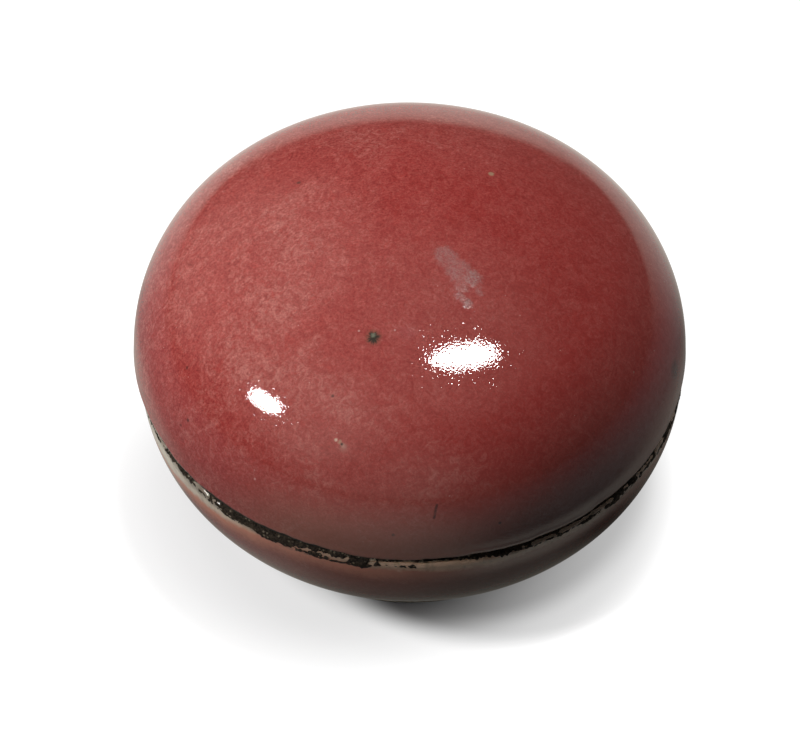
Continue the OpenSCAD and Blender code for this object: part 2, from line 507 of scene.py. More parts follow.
# The band under the joint, where the glaze has run down, with painted light and shade: lighter at
# the left, tan at the front, grey-brown at the right
# Painted light: a lighter copy of the body's cream, for the band on the lit left side
BAND_CREAM_PAINTED_LIGHT = (0.93, 0.81, 0.65)
# Painted light: a brighter tan for the band at the front
TAN_PAINTED_LIGHT = (0.95, 0.60, 0.40)
# Painted shade and reflection: the band's grey-brown in the shade at the right
GREY_BROWN_SHADE_REFLECTION = (0.74, 0.54, 0.40)
BLOT_BROWN = (0.34, 0.22, 0.13)
# Painted shade: brown that darkens the bowl's glaze away from the lit left side
BOWL_SHADE_BROWN = (0.26, 0.085, 0.045)
BAND_PINK = (0.95, 0.38, 0.24)
SMEAR_BROWN = (0.15, 0.100, 0.065)
# Bare porcelain, and the dirt on it
CREAM = (0.80, 0.69, 0.55)
BODY_TAN = (0.60, 0.49, 0.34)
BODY_CLOUD = (0.48, 0.35, 0.22)
BODY_SPECK = (0.12, 0.06, 0.03)
SEAT_STAIN = (0.09, 0.055, 0.032)
FOOT_DIRT = (0.16, 0.11, 0.07)
# Near-black dirt, which also paints the shadow in the joint
GRIME_AND_SHADOW = (0.018, 0.013, 0.010)
RIM_GRIME_AND_SHADOW = (0.045, 0.032, 0.022)
GRIME_GRAIN = (0.075, 0.056, 0.040)
GRIME_CLOUD = (0.12, 0.09, 0.060)
GRIT_PALE = (0.36, 0.29, 0.20)
# White glaze, with its iron specks
WHITE_BLUISH = (0.78, 0.81, 0.80)
WHITE_GREYISH = (0.72, 0.76, 0.74)
SPECK_RUST = (0.52, 0.36, 0.18)
SPECK_CORE = (0.14, 0.05, 0.02)
PINPOINT = (0.25, 0.20, 0.15)
# Seal paste
PASTE_MID = (0.47, 0.030, 0.012)
PASTE_FIBRE = (0.72, 0.085, 0.030)
PASTE_DEEP = (0.36, 0.020, 0.010)

# The glaze is hazier, partly as a painted sheen of the light from the left, and its grain
# stronger, in these directions
HAZE_AND_SHEEN_WAY = (-0.0120, -0.0010, 0.0)
GRAIN_WAY = (-0.014, 0.015, 0.0)

# Marks in the cover's glaze: place from the joint's middle in millimetres, radius,
# softness, how uneven the edge is, colour and strength
COVER_MARKS = [
    ((10.65, 8.41, 26.24), 0.40, 0.16, 0.4, (0.42, 0.26, 0.16), 0.9),
    ((-8.42, -31.75, 15.85), 0.55, 0.40, 0.5, (0.42, 0.20, 0.16), 0.35),
    ((-8.42, -31.63, 16.0), 0.32, 0.26, 0.7, (0.50, 0.27, 0.21), 0.6),
    ((-8.95, -31.20, 16.3), 0.26, 0.20, 0.7, (0.46, 0.26, 0.17), 0.8),
    ((-9.36, -30.98, 16.43), 0.22, 0.14, 0.5, (0.74, 0.50, 0.38), 0.95),
    ((-8.63, -31.43, 16.14), 0.16, 0.10, 0.2, (0.03, 0.012, 0.009), 0.95),
    ((-29.5, -16.89, 14.42), 0.22, 0.14, 0.2, (0.06, 0.014, 0.012), 0.8),
    ((-29.28, -21.9, 9.68), 0.26, 0.16, 0.3, (0.05, 0.014, 0.012), 0.8),
    ((-30.28, -21.44, 8.12), 0.18, 0.11, 0.2, (0.06, 0.016, 0.014), 0.75),
    ((-9.88, -26.42, 19.9), 0.19, 0.11, 0.2, (0.06, 0.02, 0.015), 0.8),
    ((-15.22, 7.23, 25.26), 0.26, 0.15, 0.3, (0.08, 0.02, 0.015), 0.8),
    ((-1.84, -37.68, 5.4), 0.22, 0.13, 0.2, (0.03, 0.01, 0.008), 0.7),
    ((12.14, -35.67, 5.7), 0.20, 0.11, 0.2, (0.02, 0.01, 0.008), 0.8),
    ((-20.08, -31.04, 8.52), 0.15, 0.08, 0.1, (0.60, 0.30, 0.26), 0.9),
    ((29.82, -16.46, 14.33), 0.14, 0.08, 0.1, (0.40, 0.18, 0.14), 0.9),
    ((-6.64, -18.76, 24.14), 0.14, 0.08, 0.1, (0.62, 0.36, 0.32), 0.8),
    ((-1.95, -18.87, 24.5), 0.13, 0.08, 0.1, (0.62, 0.36, 0.32), 0.7),
    ((35.91, -9.89, 7.61), 1.30, 0.80, 1.6, (0.06, 0.040, 0.030), 0.6),
]
# An iron spot in the cover's glaze, with a rusty halo and a paler greenish middle
IRON_SPOT = (-4.74, -19.75, 23.97)
IRON_MIDDLE = (-4.75, -19.45, 24.1)
# The ends of a dark thread-like streak in the cover's glaze
STREAK = ((3.81, -36.27, 9.91), (3.49, -36.95, 8.08))
# A scuffed patch on the dome, in lobes: place, radius, and how strongly it is scuffed
SCUFF_LOBES = [
    ((4.63, -7.96, 27.20), 1.55, 0.36),
    ((6.21, -9.98, 26.68), 1.65, 0.36),
    ((8.15, -10.85, 26.25), 1.10, 0.60),
    ((6.80, -12.40, 26.10), 1.00, 0.26),
    ((6.50, -13.82, 25.76), 0.60, 0.40),
    ((7.42, -14.60, 25.40), 0.36, 0.65),
    ((9.20, -12.90, 25.60), 0.36, 0.45),
]
# The pale band under the joint: degrees from the front, and how far down it goes, in mm
PALE_BAND = [(-180, 1.6), (-110, 2.0), (-75, 4.0), (-60, 4.3), (-50, 3.5), (-42, 3.2),
             (-34, 2.3), (-28, 1.7), (-18, 1.4), (-10, 1.9), (-5, 2.0), (8, 2.6), (17, 2.8),
             (26, 2.2), (38, 2.4), (55, 2.2), (75, 2.4), (100, 1.9), (180, 1.6)]
# How high over the joint the cover's glaze ends, in mm, by degrees from the front
GLAZE_EDGE = [(-180, 0.7), (-110, 0.9), (-80, 1.3), (-57, 1.35), (-48, 1.0), (-24, 0.95),
              (-12, 0.45), (0, 0.3), (10, 0.5), (21, 0.2), (45, 0.35), (55, 0.25), (62, 0.7),
              (80, 1.3), (110, 1.2), (150, 0.7)]


def from_joint(place):
    """The place in the part's frame of a place given from the joint's middle"""
    return (place[0], place[1], place[2] + JOINT_Z)


def streak(p):
    """1 on the streak, by the distance from a line between its ends"""
    top, foot = Vector(from_joint(STREAK[0])), Vector(from_joint(STREAK[1]))
    way = foot - top
    step = p.vector("SUBTRACT", p.place, tuple(top))
    along = p.dot(step, tuple(way / way.length_squared))
    along = p.math("ADD", along, 0, clamp=True)
    off = p.vector("DISTANCE", step, p.vector("SCALE", tuple(way), scale=along))
    return p.times(p.ease(off, 0.08, 0.26, 1, 0), p.ease(p.noise(1.6, 2), 0.35, 0.6, 0.45, 1))


def iron_spot(p, colour):
    """The iron spot: its dark core ends in fine spokes"""
    place = from_joint(IRON_SPOT)
    colour = p.stain(colour, p.spot(place, 0.95, 0.55, 0.6), 0.75, IRON_HALO)
    off = p.vector("SUBTRACT", p.place, place)
    spokes = p.noise(4.5, 2, 0.6, at=p.vector("NORMALIZE", off))
    spokes = p.ease(spokes, 0.35, 0.65, -0.20, 0.24)
    away = p.plus(p.vector("LENGTH", off), spokes, p.swing(0.5, 4, 2))
    colour = p.mix(p.ease(away, 0.42, 0.92, 0.95, 0), colour, IRON_CORE)
    middle = p.spot(from_joint(IRON_MIDDLE), 0.26, 0.20, 0.6, 4.0)
    return p.stain(colour, middle, 0.9, IRON_GREENISH)


def scuffed(p):
    """How strongly the dome is scuffed: mottled lobes with uneven edges"""
    shake = p.swing(2.2, 1.1, 4, 0.7)
    crumbs = p.ease(p.noise(2.0, 5, 0.8, 2.0), 0.38, 0.60, 0.15, 1.25)
    total = 0.0
    for place, radius, strength in SCUFF_LOBES:
        away = p.plus(p.away_from(from_joint(place)), shake)
        total = p.math("MAXIMUM", total, p.ease(away, radius - 0.4, radius + 0.5, strength, 0))
    return p.times(total, crumbs)


def glaze_ground(p, mottle):
    """The red glaze's colour: mottled, and hazy at the left, where the paler haze is partly a
    painted sheen of the light from that side
    """
    # Painted sheen, in part: the glaze turns paler and pinker towards the lit left side
    aside = p.dot(p.place, HAZE_AND_SHEEN_WAY)
    haze = p.plus(aside, p.swing(2.4, 0.085, 3, 0.55, 0.6),
                  p.math("MULTIPLY_ADD", mottle, 3.4, -1.7))
    colour = p.mix(p.ease(haze, -0.85, 0.35), RED_DEEP, RED_MID)
    colour = p.mix(p.ease(haze, 0.10, 1.25), colour, RED_HAZE_AND_SHEEN)
    # Small patches of clear deep red, and pale thread-like wisps
    patch = p.ease(p.noise(0.55, 4, 0.65, 0.8), 0.56, 0.66, 0, 0.75)
    colour = p.mix(patch, colour, RED_PATCH)
    off = p.math("ABSOLUTE", p.minus(p.noise(1.7, 3, 0.6, 3.0), 0.5))
    wisp = p.times(p.ease(off, 0.0, 0.035, 0.30, 0), p.ease(mottle, 0.42, 0.58))
    colour = p.mix(wisp, colour, RED_WISP)
    # Grain: strongest at the back left; red changes less than green and blue
    strength = p.plus(p.dot(p.place, GRAIN_WAY), 1.25)
    strength = p.math("MAXIMUM", strength, 0.45)
    grain = p.times(p.minus(p.noise(3.2, 3, 0.8), 0.5), strength)
    broad = p.times(p.minus(mottle, 0.5), strength)
    tone = p.vector("MULTIPLY_ADD", (1.3, 1.8, 1.8), grain, (1, 1, 1))
    tone = p.vector("MULTIPLY_ADD", (0.45, 0.25, 0.25), broad, tone)
    colour = p.vector("MULTIPLY", colour, p.vector("MAXIMUM", tone, (0.3, 0.3, 0.3)))
    # Tiny bubbles and dark specks
    bubbles = p.specks(0.55, (0.05, 0.12), (0.80, 0.82))
    specks = p.specks(0.55, (0.06, 0.14), (0.10, 0.08))
    colour = p.stain(colour, bubbles, 0.45, BUBBLE_PALE)
    return p.stain(colour, specks, 0.45, SPECK_DARK)


def cover_colours(p, colour, turn):
    """Browner towards the rim except at the left, as painted shade; dark where the glaze ends;
    and marked
    """
    rise = p.minus(p.z, JOINT_Z)
    # Painted shade: browner towards the rim, strongest low down and away from the lit left side
    brown = p.times(p.ease(rise, 1.0, 13.0, 0.62, 0), p.ease(turn, -45, -15))
    colour = p.mix(brown, colour, RIM_SHADE_BROWN)
    rim = p.minus(rise, p.round_turn([*GLAZE_EDGE, (180, GLAZE_EDGE[0][1])]))
    colour = p.mix(p.ease(rim, 0.05, 0.28, 0.85, 0), colour, EDGE_DARK)
    for place, radius, soft, wobble, tint, strength in COVER_MARKS:
        mark = p.spot(from_joint(place), radius, soft, wobble)
        colour = p.stain(colour, mark, strength, tint)
    return p.stain(iron_spot(p, colour), streak(p), 0.8, STREAK_DARK)


def bowl_colours(p, colour, turn, from_front):
    """The glaze has run down from the bowl's edge, so the white body shows at the joint; band and
    glaze carry painted light and shade by side
    """
    below = p.minus(JOINT_Z, p.z)
    wander = p.plus(p.swing(1.6, 0.22, 3, 0.6), p.swing(1.0, 1.5, 4, 0.7))
    run = p.minus(below, wander, p.round_turn(PALE_BAND))
    pale = p.ease(run, -0.9, 0.35, 1, 0)
    # Painted light and shade: the band is lighter at the left, tan at the front and grey-brown at
    # the right; plain cream behind
    band = p.mix(p.ease(turn, -50, -26), BAND_CREAM_PAINTED_LIGHT, TAN_PAINTED_LIGHT)
    band = p.mix(p.ease(turn, 28, 64), band, GREY_BROWN_SHADE_REFLECTION)
    band = p.mix(p.ease(from_front, 85, 140), band, CREAM)
    blot = p.ease(p.noise(0.6, 5, 0.7), 0.46, 0.68)
    band = p.mix(p.times(blot, p.ease(turn, -60, -25, 0.2, 0.65)), band, BLOT_BROWN)
    # Painted shade: the bowl's glaze browner away from the lit left side
    colour = p.mix(p.ease(turn, -48, -8, 0, 0.55), colour, BOWL_SHADE_BROWN)
    pink = p.times(p.ease(run, -0.4, 3.6, 1, 0), p.ease(turn, -20, 10, 0.85, 0.35))
    colour = p.mix(pink, colour, BAND_PINK)
    colour = p.mix(pale, colour, band)
    smear = p.ease(p.plus(below, p.swing(2.4, 1.2, 5, 0.7)), 1.0, 2.4, 0.6, 0)
    return p.mix(p.times(smear, p.ease(turn, -10, 0, 1, 0.25)), colour, SMEAR_BROWN)


def red_glaze(name, on_cover):
    """Copper-red glaze with a fine orange-peel surface"""
    p = Paint(name, rough=0.05, ior=1.52)
    mottle = p.noise(0.75, 6, 0.72, 1.3)
    colour = glaze_ground(p, mottle)
    rough = p.line(mottle, 0.3, 0.7, 0.02, 0.045)
    # Orange peel, and pinholes that glint round the highlights
    holes = p.specks(2.1, (0.0, 0.15), (0.25, 0.7))
    normal = p.bump(holes, -0.0090, p.bump(p.noise(3.4, 1, 0.45), 0.0100))
    # Behind the box the angle runs back to 0, so that no colour ends in a seam there
    turn = p.turn_degrees()
    from_front = p.math("ABSOLUTE", turn)
    turn = p.times(turn, p.ease(from_front, 105, 178, 1, 0))
    if not on_cover:
        return p.finish(bowl_colours(p, colour, turn, from_front), rough, normal)
    scuff = scuffed(p)
    colour = p.mix(scuff, cover_colours(p, colour, turn), SCUFF_PALE)
    rough = p.math("MULTIPLY_ADD", scuff, 0.3, rough)
    wrinkles = p.times(p.noise(1.8, 4, 0.7, 1.5), scuff)
    return p.finish(colour, rough, p.bump(wrinkles, 0.10, normal))


def bare_porcelain(name, on_cover):
    """Unglazed fired porcelain, stained brown where the cover and bowl meet; on the cover's rim
    the dark also paints the shadow in the joint
    """
    p = Paint(name, rough=0.75, Specular_IOR_Level=0.15)
    grain = p.noise(3.0, 4, 0.65)
    colour = p.mix(p.ease(grain, 0.3, 0.75), CREAM, BODY_TAN)
    colour = p.mix(p.ease(p.noise(0.2, 3, 0.6), 0.45, 0.7, 0, 0.5), colour, BODY_CLOUD)
    colour = p.stain(colour, p.specks(0.3, (0.08, 0.22), (0.75, 0.8)), 0.8, BODY_SPECK)
    radius = p.math("SQRT", p.plus(p.times(p.x, p.x), p.times(p.y, p.y)))
    outside = p.ease(radius, BOWL_DOME[0] - 2.6, BOWL_DOME[0] - 1.0)
    patch = p.noise(0.7, 5, 0.7)
    if on_cover:
        # Grime all round the rim's outside, thinner under it, near-black so that it also paints
        # the shadow under the cover's edge
        dirt = p.mix(p.ease(patch, 0.48, 0.72), GRIME_AND_SHADOW, RIM_GRIME_AND_SHADOW)
        colour = p.mix(outside, colour, dirt)
    else:
        seat = p.math("MULTIPLY_ADD", patch, 1.2, p.minus(p.z, JOINT_Z))
        seat = p.ease(p.math("ABSOLUTE", seat), 0.2, 1.3, 1, 0)
        stain = p.times(outside, seat, p.ease(patch, 0.40, 0.62, 0.12, 0.85))
        colour = p.mix(stain, colour, SEAT_STAIN)
        # The foot ring's edges are rubbed and dirty
        foot = p.times(p.ease(p.z, 0.2, 1.6, 1, 0), p.ease(patch, 0.4, 0.62))
        colour = p.stain(colour, foot, 0.6, FOOT_DIRT)
    rough = p.line(grain, 0.3, 0.7, 0.65, 0.85)
    return p.finish(colour, rough, p.bump(p.noise(4.0, 4, 0.7), 0.05))


def white_glaze(name):
    """Clear glaze over white porcelain, faintly blue, with a few iron specks"""
    p = Paint(name, rough=0.05, ior=1.5)
    cloud = p.noise(0.12, 3, 0.6)
    colour = p.mix(p.ease(cloud, 0.3, 0.7), WHITE_BLUISH, WHITE_GREYISH)
    halo = p.specks(0.16, (0.15, 0.75), (0.80, 0.84))
    core = p.specks(0.16, (0.10, 0.30), (0.80, 0.84))
    pins = p.specks(0.8, (0.04, 0.10), (0.9, 0.93))
    colour = p.mix(core, p.stain(colour, halo, 0.5, SPECK_RUST), SPECK_CORE)
    colour = p.stain(colour, pins, 0.6, PINPOINT)
    rough = p.line(cloud, 0.3, 0.7, 0.04, 0.08)
    return p.finish(colour, rough, p.bump(p.noise(1.6, 2, 0.5), 0.006))


def grime_and_shadow():
    """Old dirt packed into the joint: brown-black, crumbly, with paler grains; its dark also
    paints the joint's shadow
    """
    p = Paint("joint_grime_and_shadow", rough=0.9, Specular_IOR_Level=0.08)
    grain = p.noise(3.4, 5, 0.75)
    colour = p.mix(p.ease(grain, 0.42, 0.64), GRIME_AND_SHADOW, GRIME_GRAIN)
    colour = p.mix(p.ease(p.noise(0.8, 3, 0.6), 0.50, 0.72, 0, 0.6), colour, GRIME_CLOUD)
    colour = p.stain(colour, p.specks(2.0, (0.08, 0.22), (0.62, 0.80)), 0.7, GRIT_PALE)
    return p.finish(colour, p.line(grain, 0.3, 0.7, 0.95, 0.6), p.bump(grain, 0.12))


def vermilion():
    """Seal paste: oily vermilion with short fibres matted through it"""
    p = Paint("seal_paste", rough=0.42, ior=1.47, Sheen_Weight=0.15, Sheen_Roughness=0.4)
    along = p.vector("MULTIPLY", p.place, (0.22, 1.6, 1.0))
    across = p.vector("MULTIPLY", p.place, (1.5, 0.25, 1.0))
    fibre = p.math("MAXIMUM", p.noise(1.5, 3, 0.6, 2.2, along),
                   p.noise(1.4, 3, 0.6, 2.2, across))
    grain = p.noise(3.5, 3, 0.7)
    colour = p.mix(p.ease(fibre, 0.45, 0.78), PASTE_MID, PASTE_FIBRE)
    colour = p.mix(p.ease(p.noise(0.25, 4, 0.6), 0.5, 0.75, 0, 0.5), colour, PASTE_DEEP)
    rough = p.line(grain, 0.3, 0.7, 0.30, 0.55)
    return p.finish(colour, rough, p.bump(fibre, 0.28, p.bump(grain, 0.06)))


# Fineness: places round a turn, and steps along a dome
COVER_PLACES = 384
BOWL_PLACES = 480
INSIDE_PLACES = 256
CRUST_PLACES = 1440
COVER_GLAZE_STEPS = 80
BOWL_GLAZE_STEPS = 56
LINING_STEPS = 44
WELL_STEPS = 34
UNDER_STEPS = 26
PASTE_STEPS = 90
DIRT_ROWS = 12
SIDE_STEPS = 12
RIM_STEPS = 7
LIP_STEPS = 5

# Distances from a glaze coat's edge, in millimetres, where its rounded edge is drawn
EDGE_STEPS = np.array([0, 0.02, 0.06, 0.12, 0.2, 0.3, 0.42, 0.56, 0.72, 0.9, 1.1, 1.35, 1.7])


def rolled_edge(distance, thickness):
    """Depth of a coat's surface under the full dome, near the coat's rounded edge"""
    width = 1.3 * thickness
    share = np.clip(distance / width, 0, 1)
    depth = thickness * (1 - np.sqrt(1 - (1 - share) ** 2))
    return depth - 0.05 * np.exp(-((distance - 1.5 * width) / (0.8 * width)) ** 2)


def coat_rings(standing, stop, end, steps):
    """The red coat's outer face, from its rounded edge to the angle end"""
    dome, base, up = standing
    run = np.degrees(EDGE_STEPS / dome[1])[:, None]
    depth = rolled_edge(EDGE_STEPS, GLAZE_T)[:, None]
    radius, height = dome_point(dome, depth, stop + run)
    edge = rings(radius, base + up * height)
    face = dome_rings(standing, 0, stop + run[-1], end, steps)
    return np.concatenate([edge, face[1:]])


def build_cover():
    turn = turn_places(COVER_PLACES)
    # The glaze stops lowest at the front and higher at both sides
    stop_h = round_turn(np.degrees(turn), GLAZE_EDGE)
    stop_h = np.clip(stop_h + 0.09 * ragged(turn, 9, 160, 0.8, 31), 0.12, 1.8)
    stop = angle_at_height(COVER_DOME, GLAZE_T, stop_h - COVER_BELLY_H)
    outer = coat_rings(COVER, stop, 90, COVER_GLAZE_STEPS)
    under = dome_rings(COVER, GLAZE_T, stop, 90, UNDER_STEPS)
    turned("cover_glaze", [outer, under[::-1]], turn, cover_field, "cover_outer_glaze",
           "cover", red_glaze("cover_red_glaze", True))

    rim_side = angle_at_height(COVER_DOME, GLAZE_T, RIM_ROUND - COVER_BELLY_H)
    rim_r = float(dome_point(COVER_DOME, GLAZE_T, rim_side)[0])
    lining_stop = angle_at_height(COVER_DOME, MOUTH_DEPTH,
                                  FLANGE_TOP_ABOVE_BELLY + MOUTH_BARE)
    lip = (MOUTH_R + LIP_ROUND, JOINT_Z + LIP_ROUND)
    rim = (rim_r - RIM_ROUND, JOINT_Z + RIM_ROUND)
    body = [
        arc_rings(lip, LIP_ROUND, 180, 270, LIP_STEPS),
        arc_rings(rim, RIM_ROUND, 270, 360, RIM_STEPS),
        dome_rings(COVER, GLAZE_T, rim_side, 30, SIDE_STEPS)[1:],
        dome_rings(COVER, GLAZE_T, 30, 90, SIDE_STEPS)[1:],
        dome_rings(COVER, MOUTH_DEPTH, lining_stop, 90, UNDER_STEPS)[::-1],
        dome_rings(COVER, MOUTH_DEPTH, 0, lining_stop, 6)[-2::-1],
    ]
    turned("cover_porcelain", body, turn, cover_field, "cover_body", "cover",
           bare_porcelain("cover_bare_porcelain", True))

    turn = turn_places(INSIDE_PLACES)
    stop_h = FLANGE_TOP_ABOVE_BELLY + MOUTH_BARE + 0.18 * ragged(turn, 4, 60, 0.9, 32)
    stop = angle_at_height(COVER_DOME, MOUTH_DEPTH, stop_h)
    over = dome_rings(COVER, MOUTH_DEPTH, stop, 90, UNDER_STEPS)
    run = np.degrees(EDGE_STEPS / (COVER_DOME[1] - MOUTH_DEPTH))[:, None]
    depth = MOUTH_DEPTH + LINING_T - rolled_edge(EDGE_STEPS, LINING_T)[:, None]
    radius, height = dome_point(COVER_DOME, depth, stop + run)
    lip = rings(radius, COVER_BELLY_Z + height)
    face = dome_rings(COVER, MOUTH_DEPTH + LINING_T, stop + run[-1], 90, LINING_STEPS)[1:]
    turned("cover_lining", [over, face[::-1], lip[::-1]], turn, cover_field,
           "cover_lining_glaze", "cover", WHITE)


def build_bowl():
    turn = turn_places(BOWL_PLACES)
    rim_side = angle_at_height(BOWL_DOME, GLAZE_T, RIM_ROUND - BOWL_BELLY_DROP)
    rim_r = float(dome_point(BOWL_DOME, GLAZE_T, rim_side)[0])
    recess_corner = (RECESS_R - RECESS_CORNER_R, RECESS_H - RECESS_CORNER_R)
    lip_z = FLANGE_TOP_Z - LIP_ROUND
    rim = (rim_r - RIM_ROUND, JOINT_Z - RIM_ROUND)
    body = [
        arc_rings((RECESS_R + LIP_ROUND, LIP_ROUND), LIP_ROUND, 180, 270, LIP_STEPS),
        arc_rings((FOOT_SIDE_R - LIP_ROUND, LIP_ROUND), LIP_ROUND, 270, 360, LIP_STEPS),
        rings([FOOT_SIDE_R], [FOOT_BARE]),
        dome_rings(BOWL, GLAZE_T, FOOT_SIDE_ANGLE, 12, SIDE_STEPS),
        dome_rings(BOWL, GLAZE_T, 12, rim_side, 10)[1:],
        arc_rings(rim, RIM_ROUND, 0, 90, RIM_STEPS)[1:],
        rings([FLANGE_R + 1.2, FLANGE_R], [JOINT_Z, JOINT_Z]),
        arc_rings((FLANGE_R - LIP_ROUND, lip_z), LIP_ROUND, 0, 90, LIP_STEPS),
        arc_rings((WELL_R + LIP_ROUND, lip_z), LIP_ROUND, 90, 180, LIP_STEPS),
        rings([WELL_R], [LINING_TOP_Z]),
        dome_rings(WELL, 0, 0, 90, UNDER_STEPS),
        rings([0], [RECESS_H]),
        arc_rings(recess_corner, RECESS_CORNER_R, 90, 0, LIP_STEPS),
        rings([RECESS_R], [FOOT_BARE]),
    ]
    turned("bowl_porcelain", body, turn, bowl_field, "bowl_body", "bowl",
           bare_porcelain("bowl_bare_porcelain", False))

    # Red glaze: its upper edge wanders under the joint, its lower edge on the foot ring
    stop_h = 0.62 + 0.3 * near(np.degrees(turn), -20, 25)
    stop_h = np.clip(stop_h + 0.1 * ragged(turn, 7, 140, 0.8, 41), 0.3, 1.4)
    stop = angle_at_height(BOWL_DOME, GLAZE_T, stop_h - BOWL_BELLY_DROP)
    outer = coat_rings(BOWL, stop, FOOT_ANGLE, BOWL_GLAZE_STEPS)
    foot_end = FOOT_BARE + 0.22 * ragged(turn, 5, 90, 0.9, 42)
    foot_edge = rings(FOOT_R - rolled_edge(EDGE_STEPS[:8], GLAZE_T),
                      foot_end[None, :] + EDGE_STEPS[:8, None])
    under = dome_rings(BOWL, GLAZE_T, stop, FOOT_SIDE_ANGLE, UNDER_STEPS)
    turned("bowl_glaze", [under, foot_edge, outer[::-1]], turn, bowl_field,
           "bowl_outer_glaze", "bowl", red_glaze("bowl_red_glaze", False))

    turn = turn_places(INSIDE_PLACES)
    end_depth = rolled_edge(EDGE_STEPS[:9], LINING_T)
    top = LINING_TOP_Z + 0.12 * ragged(turn, 4, 60, 0.9, 43)
    wall = rings([WELL_R], top[None, :])
    lined = dome_rings(WELL, LINING_T, 0, 90, WELL_STEPS)
    low = dome_rings(WELL, 0, 0, 90, UNDER_STEPS)
    lip = rings(WELL_R - LINING_T + end_depth, top[None, :] - EDGE_STEPS[:9, None])
    edge = rings([WELL_R - LINING_T], [PASTE_EDGE_Z])
    turned("well_glaze", [wall, low, lined[::-1], edge, lip[:0:-1]], turn, bowl_field,
           "bowl_lining_glaze", "bowl", WHITE)

    end = FOOT_BARE + 0.2 * ragged(turn, 5, 80, 0.9, 44)
    outside = arc_rings(recess_corner, RECESS_CORNER_R, 0, 90, 6)
    inside = arc_rings(recess_corner, RECESS_CORNER_R - LINING_T, 90, 0, 6)
    middle = np.linspace(recess_corner[0], 0, 14)[1:]
    under = rings(middle, np.full(len(middle), RECESS_H))
    face = rings(middle[::-1], np.full(len(middle), RECESS_H - LINING_T))
    foot = rings(RECESS_R - LINING_T + end_depth, end[None, :] + EDGE_STEPS[:9, None])
    turned("base_white_glaze", [outside, under, face, inside, foot[::-1]], turn, bowl_field,
           "base_glaze", "bowl", WHITE)


def paste_field(points):
    """Kneaded paste: soft folds and lumps on the mound, none where it meets the glaze"""
    radius = np.hypot(points[..., 0], points[..., 1])
    free = ease(points[..., 2], PASTE_EDGE_Z + 0.3, PASTE_EDGE_Z + 4)
    swirl = np.sin(0.42 * radius + 3 * np.arctan2(points[..., 1], points[..., 0])
                   + 0.8 * lumps(points, 14, 53))
    lift = 0.22 * lumps(points, 9, 51) + 0.09 * lumps(points, 3.2, 52) + 0.16 * swirl
    moved = points.copy()
    moved[..., 0] += BOWL_ASIDE
    moved[..., 2] += free * (lift - 0.25) * ease(radius, 0, 3)
    return moved


def build_paste():
    turn = turn_places(INSIDE_PLACES)
    low = dome_rings(WELL, LINING_T, 90, 0, 20)
    share = np.linspace(0, 1, PASTE_STEPS + 1)[:, None]
    angle = 90 * share ** 0.8
    radius, height = dome_point(PASTE_DOME, 0, angle)
    radius = np.where(share == 1, 0, radius)
    top = rings(radius, PASTE_EDGE_Z + height)
    low[0, :, 0] = 0
    turned("paste_mound", [low, top], turn, paste_field, "seal_paste", "bowl",
           vermilion())


# Dirt at the seat's edge, widened at the right so that it paints the shadow of the joint: degrees
# from the front, and how far down from the joint it goes
UPPER_DIRT_AND_SHADOW = [(-180, 0.5), (-120, 0.8), (-80, 1.25), (-60, 1.3), (-55, 1.35), (-50, 1.35),
              (-45, 1.5), (-42, 1.8), (-39, 1.9), (-35, 1.35), (-31, 1.9), (-28, 1.75),
              (-25, 1.2), (-22.5, 0.9), (-15, 0.85), (-12, 0.8), (-10.5, 1.7), (-9, 1.7),
              (-7.5, 0.6), (0, 0.45), (8, 0.5), (14, 0.8), (20, 1.1), (25, 1.2),
              (31, 1.3), (36, 1.45), (46, 1.6), (52, 1.5), (60, 1.6), (66, 1.75),
              (74, 1.4), (95, 0.9), (140, 0.8)]
# Crumbs of dirt lower down: degrees from the front, how far down, and half their height
LOWER_DIRT = [(-180, 1.3, -0.4), (-70, 1.3, -0.4), (-44, 1.4, -0.2), (-41, 1.6, 0.40),
              (-36, 1.3, 0.0), (-30, 1.5, 0.50), (-26, 1.4, 0.35), (-21, 1.5, 0.40),
              (-17, 1.55, 0.38), (-14, 1.7, 0.22), (-12, 1.55, 0.45), (-9.5, 1.45, 0.80),
              (-7.8, 1.35, 0.25), (-5, 1.1, 0.10), (-2, 1.1, 0.07), (0.5, 1.25, 0.26),
              (2, 1.3, 0.16), (4, 1.3, -0.25), (43, 1.5, -0.3), (47, 1.5, 0.50),
              (50, 1.6, -0.3), (64, 1.6, -0.2), (67, 1.5, 0.2), (75, 1.5, -0.4),
              (120, 1.4, 0.1), (150, 1.4, -0.4)]


